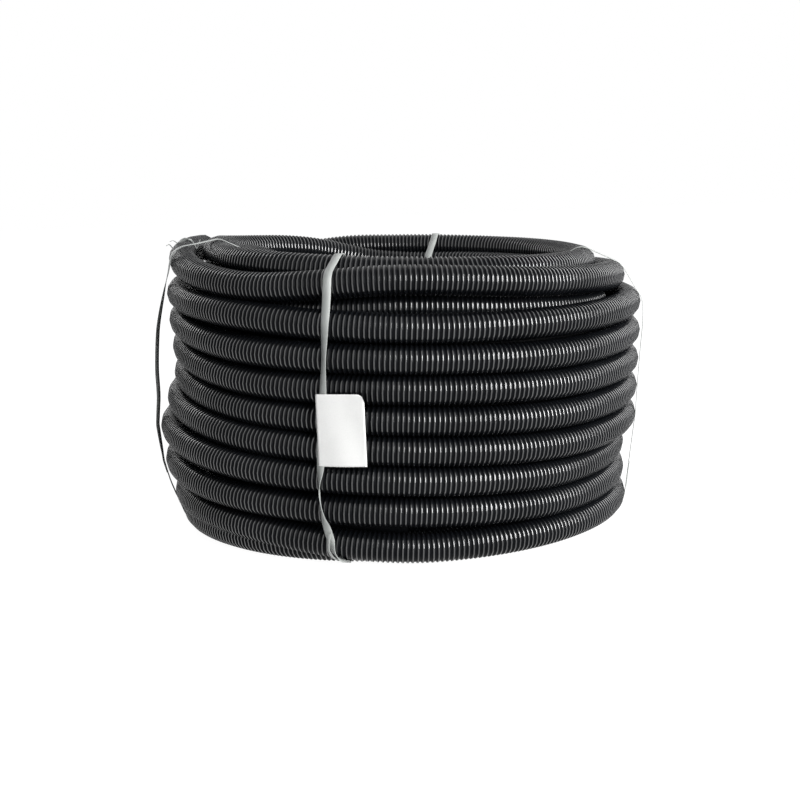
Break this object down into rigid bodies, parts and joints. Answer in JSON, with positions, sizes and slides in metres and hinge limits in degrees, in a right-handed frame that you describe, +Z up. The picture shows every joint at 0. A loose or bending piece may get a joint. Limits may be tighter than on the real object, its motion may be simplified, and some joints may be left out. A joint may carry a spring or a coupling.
{
  "type": "corrugated conduit coil",
  "caption": "Coil of black corrugated plastic conduit for electrical wiring, held by flat plastic straps and carrying a blank folded paper tag.",
  "frame": {"origin": "on the floor at the middle of the coil, on the coil's axis", "axes": "+Z up along the coil's axis; -Y is the side that the picture shows, with the paper tag"},
  "size_m": [0.5488, 0.5488, 0.3246],
  "materials": {
    "conduit_plastic": "satin",
    "strap_plastic": "satin",
    "label_paper": "matt"
  },
  "bodies": {
    "root": {"conduit_coil": "conduit_plastic", "strap_front": "strap_plastic", "strap_right": "strap_plastic", "strap_back": "strap_plastic", "strap_left": "strap_plastic", "label": "label_paper"}
  },
  "joints": []
}
